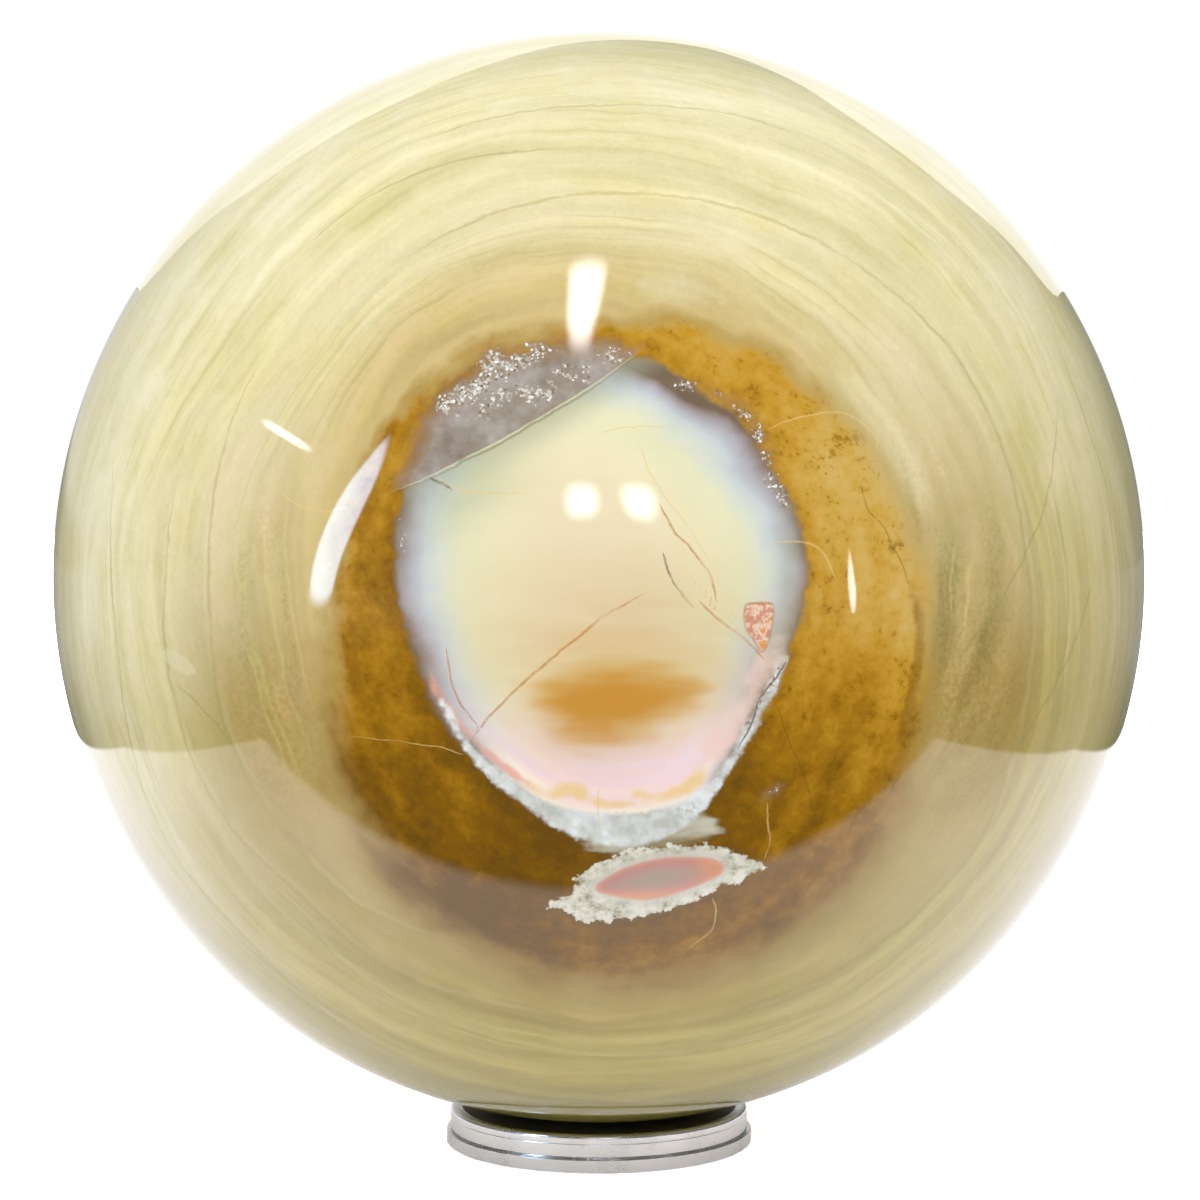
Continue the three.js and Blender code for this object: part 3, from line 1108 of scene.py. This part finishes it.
    def relief(self) -> Socket:
        """Return the normal, with the long crack let in by a few hundredths of a millimetre."""
        graph = self.graph
        crack = self.between(graph.attribute("long_crack_gap"), -0.4, 0.4)
        crack = graph.product(crack, graph.step(graph.attribute("long_crack_half"), 0.02, 0.1))
        height = graph.product(crack, -1.0)
        return graph.add("Bump", {"Strength": 0.35, "Distance": 0.03 * MM, "Height": height}).outputs[0]


@dataclass
class AgateSphere:
    """The stone: one ball, with its markings carried as numbers on its points."""

    centre: np.ndarray
    radius: float
    pattern: StonePattern
    segments: int = 360
    fine_step_mm: float = 0.70
    coarse_step_mm: float = 1.85

    def rings(self) -> np.ndarray:
        """Choose the angles of the rings from the front pole to the back one.

        The step over the surface grows smoothly from the fine one at the eye to the coarse one at
        the back, and the rings' places are its running sum.

        Returns:
            Angles in radians, from 0 to pi.
        """
        angles = np.linspace(0.0, math.pi, 2001)
        share = np.clip((np.degrees(angles) - 35.0) / 90.0, 0.0, 1.0)
        step = self.fine_step_mm + (self.coarse_step_mm - self.fine_step_mm) * share**2 * (3 - 2 * share)
        count = np.concatenate([[0.0], np.cumsum(np.diff(angles) * self.radius / MM / step[1:])])
        total = int(round(count[-1]))
        return np.interp(np.linspace(0.0, count[-1], total + 1), count, angles)

    def surface(self) -> tuple[np.ndarray, list[list[int]]]:
        """Work out the ball: polar angle and bearing about the axis that points at the front.

        Returns:
            Outward unit normals of the points, and the faces, closed with fans at both poles.
        """
        polar = self.rings()[1:-1]
        bearing = np.linspace(0.0, 2 * math.pi, self.segments, endpoint=False)
        spread, turn = np.meshgrid(polar, bearing, indexing="ij")
        body = np.stack([np.sin(spread) * np.cos(turn), -np.cos(spread), np.sin(spread) * np.sin(turn)], axis=-1)
        normals = np.vstack([[[0.0, -1.0, 0.0]], body.reshape(-1, 3), [[0.0, 1.0, 0.0]]])
        numbers = 1 + np.arange(len(polar) * self.segments).reshape(len(polar), self.segments)
        ahead = np.roll(numbers, -1, axis=1)
        quads = np.stack([numbers[:-1], numbers[1:], ahead[1:], ahead[:-1]], axis=-1).reshape(-1, 4)
        last = len(normals) - 1
        front = np.stack([np.zeros(self.segments, dtype=int), numbers[0], ahead[0]], axis=-1)
        back = np.stack([np.full(self.segments, last), ahead[-1], numbers[-1]], axis=-1)
        return normals, quads.tolist() + front.tolist() + back.tolist()

    def build(self, finish: bpy.types.Material) -> bpy.types.Object:
        """Make the stone's mesh with its numbers, and dress it."""
        normals, faces = self.surface()
        piece = link_mesh("polished_stone", self.centre + normals * self.radius, faces)
        for name, values in self.pattern.numbers(normals).items():
            column = piece.data.attributes.new(name, "FLOAT", "POINT")
            column.data.foreach_set("value", values.astype(np.float32))
        piece.data.materials.append(finish)
        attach(piece, "root")
        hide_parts(STONE_NODE)
        return piece


@dataclass(frozen=True)
class MetalFinish:
    """Polished silver-coloured metal with faint turning lines, handling marks and painted shade on the dished top under
    the stone.
    """

    wear: bpy.types.NodeTree
    tint: tuple[float, float, float, float] = srgb(224, 225, 228)
    dish_radius_mm: float = 25.6

    def build(self) -> bpy.types.Material:
        """Make the ring's material."""
        material = bpy.data.materials.new("polished_metal")
        material.use_nodes = True
        graph = Graph(material.node_tree)
        shader = material.node_tree.nodes["Principled BSDF"]
        source = graph.add("TexCoord").outputs["Object"]
        place = graph.add("Mapping", {"Vector": source, "Scale": (1 / MM,) * 3}).outputs[0]
        parts = graph.add("SeparateXYZ", {0: place}).outputs
        radius = graph.math("SQRT", graph.sum(graph.math("POWER", parts[0], 2.0), graph.math("POWER", parts[1], 2.0)))
        across = graph.add("CombineXYZ", {0: radius, 1: 0.0, 2: parts[2]}).outputs[0]
        turning = graph.noise(across, 0.18, 2.0, 0.6)
        wear = graph.add("Group", node_tree=self.wear)
        graph.feed(wear.inputs["Vector"], place)
        wear.inputs["Scratch Size"].default_value = 0.35
        wear.inputs["Smudge Size"].default_value = 7.0
        # Mask of the dished top under the stone: duller in its roughness, and darkened by painted shade in its colour.
        dish_shade_and_dullness = graph.step(radius, self.dish_radius_mm - 0.3, self.dish_radius_mm + 0.3, 1.0, 0.0)
        dull = graph.sum(0.17, graph.product(wear.outputs["Smudges"], 0.07), graph.product(turning, 0.06),
                         graph.product(wear.outputs["Scratches"], 0.06), graph.product(dish_shade_and_dullness, 0.35))
        tarnish = graph.product(wear.outputs["Smudges"], 0.35)
        tint = graph.blend(tarnish, self.tint, srgb(206, 206, 206))
        # Painted shade and painted reflection: the dished top is tinted dark olive-brown, as if shadowed by the stone
        # and mirroring its underside.
        tint = graph.blend(graph.product(dish_shade_and_dullness, 0.85), tint, srgb(80, 72, 50))
        bump = graph.add("Bump", {"Strength": 1.0, "Distance": 0.02 * MM, "Height": turning}).outputs[0]
        graph.feed(shader.inputs["Base Color"], tint)
        graph.feed(shader.inputs["Roughness"], dull)
        graph.feed(shader.inputs["Normal"], bump)
        shader.inputs["Metallic"].default_value = 1.0
        return material


@dataclass
class RingStand:
    """The low turned ring: foot, groove, band with a scribed line, rounded lip, dished top and hole."""

    stone_centre_height: float
    stone_radius: float
    width: float
    height: float
    segments: int = 288
    band_inset_mm: float = 0.75
    lip_radius_mm: float = 0.8
    lip_stand_mm: float = 0.35
    groove_height_mm: float = 2.6
    groove_width_mm: float = 0.26
    groove_depth_mm: float = 0.4
    scribe_height_mm: float = 5.1
    scribe_width_mm: float = 0.22
    scribe_depth_mm: float = 0.1
    edge_radius_mm: float = 0.18
    hole_radius_mm: float = 15.0
    touch_gap_mm: float = 0.04
    brace_mm: float = 0.04

    def arc(self, radius: float, middle: tuple[float, float], start: float, end: float, steps: int) -> list:
        """Return points on a circle's stretch, with angles in degrees from outwards, anticlockwise."""
        angles = np.radians(np.linspace(start, end, steps + 1))
        points = np.stack([middle[0] + radius * np.cos(angles), middle[1] + radius * np.sin(angles)], axis=1)
        return points.tolist()

    def section(self) -> np.ndarray:
        """Draw half of the ring's section: up the outside, over the lip, down the dish and the hole.

        Returns:
            Distances from the axis and heights in millimetres, a closed loop without its last point.
        """
        foot = self.width / MM / 2
        top = self.height / MM
        band = foot - self.band_inset_mm
        edge, lip, hole = self.edge_radius_mm, self.lip_radius_mm, self.hole_radius_mm
        centre, ball = self.stone_centre_height / MM, self.stone_radius / MM
        seat = centre - math.sqrt(ball**2 - hole**2) - self.touch_gap_mm
        groove_foot = self.groove_height_mm - self.groove_width_mm / 2
        groove_top = self.groove_height_mm + self.groove_width_mm / 2
        floor = band - self.groove_depth_mm
        small = 0.08
        scribe_half = self.scribe_width_mm / 2
        inner_lip = band - 2 * lip
        points = self.arc(edge, (foot - edge, edge), -90, 0, 6)
        points += self.arc(edge, (foot - edge, groove_foot - edge), 0, 90, 6)
        points += self.arc(small, (floor + small, groove_foot + small), 270, 180, 3)
        points += self.arc(small, (floor + small, groove_top - small), 180, 90, 3)
        points += self.arc(small, (band - small, groove_top + small), -90, 0, 4)
        points += [[band, self.scribe_height_mm - scribe_half], [band - self.scribe_depth_mm, self.scribe_height_mm],
                   [band, self.scribe_height_mm + scribe_half]]
        points += self.arc(lip, (band - lip, top - lip), 0, 128, 18)
        points += self.arc(0.25, (inner_lip - self.lip_stand_mm, top - self.lip_stand_mm + 0.25), -40, -92, 4)
        points += self.arc(edge, (hole + edge, seat - edge), 88, 180, 6)
        points += self.arc(edge, (hole + edge, edge), 180, 270, 4)
        return self.brace(np.array(points))

    def brace(self, points: np.ndarray) -> np.ndarray:
        """Add a point close to each end of every long straight, so that it also looks straight.

        Args:
            points: The closed section.
        Returns:
            The section with the added points, in order.
        """
        spans = np.roll(points, -1, axis=0) - points
        lengths = np.linalg.norm(spans, axis=1)
        share = np.minimum(self.brace_mm / np.maximum(lengths, 1e-9), 0.5)[:, None]
        rows = np.stack([points, points + spans * share, points + spans * (1 - share)], axis=1)
        keep = np.stack([np.ones(len(points), bool), lengths > 0.5, lengths > 0.5], axis=1)
        return rows[keep]

    def build(self, finish: bpy.types.Material) -> bpy.types.Object:
        """Turn the section about the vertical axis, and dress the ring.

        A point is (distance times cosine, distance times sine, height) of the section's point at
        each bearing.
        """
        section = self.section() * MM
        bearing = np.linspace(0.0, 2 * math.pi, self.segments, endpoint=False)
        across = section[:, 0][None, :] * np.stack([np.cos(bearing), np.sin(bearing)])[:, :, None]
        heights = np.broadcast_to(section[:, 1], across.shape[1:])
        points = np.stack([across[0], across[1], heights], axis=-1).reshape(-1, 3)
        count = len(section)
        numbers = np.arange(self.segments * count).reshape(self.segments, count)
        round_on, up = np.roll(numbers, -1, axis=0), np.roll(numbers, -1, axis=1)
        faces = np.stack([numbers, round_on, np.roll(round_on, -1, axis=1), up], axis=-1).reshape(-1, 4)
        piece = link_mesh("turned_ring", points, faces.tolist())
        piece.data.materials.append(finish)
        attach(piece, "root")
        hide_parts(RING_NODE)
        return piece


@dataclass(frozen=True)
class Card:
    """A glowing card that only shows in what the polished surfaces mirror, with a soft edge."""

    name: str
    corners: np.ndarray
    strength: float
    core: float = 0.55
    rounding: int = 0
    tint: tuple[float, float, float, float] = WHITE
    rim_only: bool = False
    stone_height: float = 0.0

    def rim(self) -> np.ndarray:
        """Return the card's outline, each corner cut a quarter of the way along its sides, as often as asked."""
        rim = self.corners
        for _ in range(self.rounding):
            ahead = np.roll(rim, -1, axis=0)
            rim = np.stack([rim * 0.75 + ahead * 0.25, rim * 0.25 + ahead * 0.75], axis=1).reshape(-1, 3)
        return rim

    def grazing(self, graph: Graph) -> Socket:
        """Return one for rays that come from the stone's rim, and zero for those from its near face.

        A ray from the near face is much shorter than the way from the stone's centre to the card.

        Args:
            graph: The card's nodes.
        Returns:
            The mask.
        """
        place = graph.add("TexCoord").outputs["Object"]
        away = graph.add("VectorMath", {0: place, 1: (0.0, 0.0, self.stone_height)}, operation="DISTANCE")
        run = graph.add("LightPath").outputs["Ray Length"]
        return graph.step(graph.math("DIVIDE", run, away.outputs["Value"]), 0.78, 0.86)

    def build(self) -> bpy.types.Object:
        """Make the card: its outline, the same outline shrunk about the middle, and a point there.

        Returns:
            The card, which glows fully inside the shrunk outline and fades to nothing at its rim.
        """
        material = bpy.data.materials.new(self.name)
        material.use_nodes = True
        material.cycles.emission_sampling = "NONE"
        tree = material.node_tree
        tree.nodes.clear()
        graph = Graph(tree)
        strength = graph.product(graph.step(graph.attribute("glow"), 0.0, 1.0), self.strength)
        if self.rim_only:
            strength = graph.product(strength, self.grazing(graph))
        glow = graph.add("Emission", {"Color": self.tint, "Strength": strength})
        graph.feed(graph.add("OutputMaterial").inputs["Surface"], glow.outputs[0])
        rim = self.rim()
        middle = rim.mean(axis=0)
        count = len(rim)
        inner = middle + (rim - middle) * self.core
        outer_ids = np.arange(count)
        ahead = np.roll(outer_ids, -1)
        sides = np.stack([outer_ids, ahead, ahead + count, outer_ids + count], axis=1)
        fan = np.stack([outer_ids + count, ahead + count, np.full(count, 2 * count)], axis=1)
        card = link_mesh(self.name, np.vstack([rim, inner, [middle]]), sides.tolist() + fan.tolist())
        column = card.data.attributes.new("glow", "FLOAT", "POINT")
        column.data.foreach_set("value", (np.arange(2 * count + 1) >= count).astype(np.float32))
        card.data.materials.append(material)
        for flag in ("camera", "diffuse", "transmission", "volume_scatter", "shadow"):
            setattr(card, "visible_" + flag, False)
        return card


@dataclass
class Studio:
    """The pale floor, the soft light round the stone and what its polish mirrors."""

    eyepoint: Eyepoint
    floor_radius: float = 6.0
    sheet_front: float = -0.119
    sheet_back: float = 0.75
    card_depth: float = 0.40
    lamp_distance: float = 1.2
    light_from: tuple[float, float, float] = (-0.05, -0.62, 0.78)
    pale_wall: tuple[float, float, float] = (-0.30, 0.93, 0.21)

    def world(self) -> None:
        """Light the scene evenly, brighter from above and in front, with a dim room for what is mirrored."""
        world = bpy.data.worlds.new("studio")
        world.cycles.sampling_method = "NONE"
        bpy.context.scene.world = world
        world.use_nodes = True
        tree = world.node_tree
        tree.nodes.clear()
        graph = Graph(tree)
        direction = graph.add("TexCoord").outputs["Generated"]
        height = graph.add("SeparateXYZ", {0: direction}).outputs[2]
        toward = graph.add("VectorMath", {0: direction, 1: self.light_from}, operation="DOT_PRODUCT").outputs["Value"]
        soft = graph.step(toward, -1.0, 1.0, 0.42, 1.36)
        room = graph.step(height, -0.1, 0.5, 0.22, 0.13)
        behind = graph.add("VectorMath", {0: direction, 1: self.pale_wall}, operation="DOT_PRODUCT").outputs["Value"]
        behind = graph.product(graph.step(behind, 0.78, 1.0, 0.0, 0.5), graph.step(height, 0.02, 0.07))
        room = graph.sum(room, behind)
        path = graph.add("LightPath").outputs
        level = graph.math("MULTIPLY_ADD", path["Is Glossy Ray"], graph.math("SUBTRACT", room, soft), soft)
        level = graph.math("MULTIPLY_ADD", path["Is Camera Ray"], graph.math("SUBTRACT", 1.0, level), level)
        sky = graph.add("Background", {"Color": WHITE, "Strength": level})
        graph.feed(graph.add("OutputWorld").inputs["Surface"], sky.outputs[0])

    def sheet(self, graph: Graph) -> Socket:
        """Return the mask of the bright sheet, whose sides draw apart towards the back.

        Args:
            graph: The floor's nodes.
        Returns:
            One on the sheet, zero beyond it.
        """
        parts = graph.add("SeparateXYZ", {0: graph.add("TexCoord").outputs["Object"]}).outputs
        soft = 0.004
        front = graph.step(parts[1], self.sheet_front - soft, self.sheet_front + soft)
        back = graph.step(parts[1], self.sheet_back - soft, self.sheet_back + soft, 1.0, 0.0)
        far = graph.add("MapRange", {"Value": parts[1], "From Min": -0.12, "From Max": 0.1}).outputs[0]
        left = graph.sum(parts[0], 0.229, graph.product(far, 0.056))
        right = graph.sum(parts[0], -0.229, graph.product(far, -0.052))
        return graph.product(front, back, graph.step(left, -soft, soft), graph.step(right, -soft, soft, 1.0, 0.0))

    def floor(self) -> bpy.types.Object:
        """Make the pale floor, bright where it is a sheet of paper and dim beyond in what is mirrored.

        Returns:
            The floor.
        """
        bearing = np.linspace(0.0, 2 * math.pi, 96, endpoint=False)
        rim = np.stack([np.cos(bearing), np.sin(bearing), np.zeros(96)], axis=1) * self.floor_radius
        material = bpy.data.materials.new("pale_floor")
        material.use_nodes = True
        tree = material.node_tree
        tree.nodes.clear()
        graph = Graph(tree)
        path = graph.add("LightPath").outputs
        place = graph.add("TexCoord").outputs["Object"]
        away = graph.add("VectorMath", {0: place}, operation="LENGTH").outputs["Value"]
        mirrored = graph.math("MULTIPLY_ADD", self.sheet(graph), 1.5, graph.step(away, 0.3, 1.2, 0.05, 0.25))
        level = graph.math("MULTIPLY_ADD", path["Is Glossy Ray"], graph.math("SUBTRACT", mirrored, 0.8), 0.8)
        level = graph.math("MULTIPLY_ADD", path["Is Camera Ray"], graph.math("SUBTRACT", 3.2, level), level)
        cool = graph.math("MULTIPLY", level, 1.1)
        colour = graph.add("CombineColor", {0: level, 1: level, 2: cool}).outputs[0]
        diffuse = graph.add("BsdfDiffuse", {"Color": colour})
        graph.feed(graph.add("OutputMaterial").inputs["Surface"], diffuse.outputs[0])
        floor = link_mesh("floor", rim, [list(range(96))])
        floor.data.materials.append(material)
        return floor

    def back_card(self) -> Card:
        """Place the tall card behind the stone that whitens its upper rim."""
        corners = ((-0.078, 0.135), (-0.19, 0.212), (-0.29, 0.27), (-0.33, 0.42), (-0.36, 0.52), (-0.24, 0.62),
                   (-0.10, 0.57), (0.02, 0.41), (0.10, 0.39), (0.22, 0.53), (0.35, 0.49), (0.33, 0.36),
                   (0.335, 0.295), (0.21, 0.222), (0.078, 0.135), (0.0, 0.10))
        places = np.array([[x, self.card_depth, z] for x, z in corners])
        height = float(self.eyepoint.stone_centre[2])
        return Card("back_card", places, 1.25, core=0.998, rounding=2, rim_only=True, stone_height=height)

    def lamp(self, name: str, pixels: tuple[tuple[float, float], ...], strength: float, core: float = 0.55,
             tint: tuple[float, float, float, float] = (0.93, 0.95, 1.0, 1.0)) -> Card:
        """Place a lamp's face so that the stone mirrors it at the given pixels.

        Args:
            name: The lamp's name.
            pixels: The corners of its mirror image in the square frame.
            strength: How bright it is.
            core: The share of its size that is fully bright.
            tint: Its colour.
        Returns:
            The card, one lamp distance away from the stone along each mirrored ray.
        """
        corners = np.asarray(pixels, dtype=float)
        feet = self.eyepoint.stone_centre + self.eyepoint.on_stone(corners) * self.eyepoint.stone_radius
        places = feet + self.eyepoint.mirrored(corners) * self.lamp_distance
        return Card(name, places, strength, core, 2, tint)

    def lamps(self) -> list[Card]:
        """Return the lamps that the stone mirrors: two small ones, an overhead strip and side strips."""
        return [
            self.lamp("small_lamp_left", ((558, 477), (604, 477), (606, 524), (560, 526)), 15.0, 0.2),
            self.lamp("small_lamp_right", ((609, 477), (660, 478), (666, 529), (622, 525)), 15.0, 0.2),
            self.lamp("overhead_strip", ((566, 252), (614, 248), (608, 292), (598, 330), (590, 360), (568, 362),
                                         (562, 330), (564, 290)), 22.0, 0.4),
            self.lamp("left_strip", ((398, 422), (384, 470), (358, 522), (338, 570), (330, 612), (306, 612), (310, 570),
                                     (322, 530), (346, 484), (372, 452)), 15.0, 0.78, (0.56, 0.74, 1.0, 1.0)),
            self.lamp("far_strip", ((257, 423), (261, 414), (289, 431), (317, 449), (313, 457), (285, 440)), 13.0, 0.55),
            self.lamp("right_strip", ((848, 536), (854, 570), (858, 600), (853, 632), (848, 600), (846, 570)), 16.0, 0.5),
        ]

    def build(self) -> None:
        """Build the floor, the light and the cards."""
        bpy.context.scene.view_settings.view_transform = "Standard"
        self.world()
        self.floor()
        for card in [self.back_card(), *self.lamps()]:
            card.build()


def main() -> None:
    """Build the stone, the ring, the studio and the camera."""
    logging.basicConfig(level=logging.INFO, format="%(name)s: %(message)s")
    low, high = (np.array(corner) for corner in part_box(STONE_NODE))
    centre, radius = (low + high) / 2, float((high - low)[2] / 2)
    ring_low, ring_high = (np.array(corner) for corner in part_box(RING_NODE))
    eyepoint = Eyepoint(centre, radius)
    eyepoint.build()
    wear = WearGroup().build()
    stone = AgateSphere(centre, radius, StonePattern(Chart(eyepoint)))
    log.info("stone: %s, %d points", (piece := stone.build(AgateFinish(wear, centre).build())).name,
             len(piece.data.vertices))
    ring = RingStand(float(centre[2]), radius, float((ring_high - ring_low)[0]), float((ring_high - ring_low)[2]))
    log.info("ring: %s", ring.build(MetalFinish(wear).build()).name)
    Studio(eyepoint).build()
    log.info("studio: floor, light and cards")


if __name__ == "__main__":
    main()
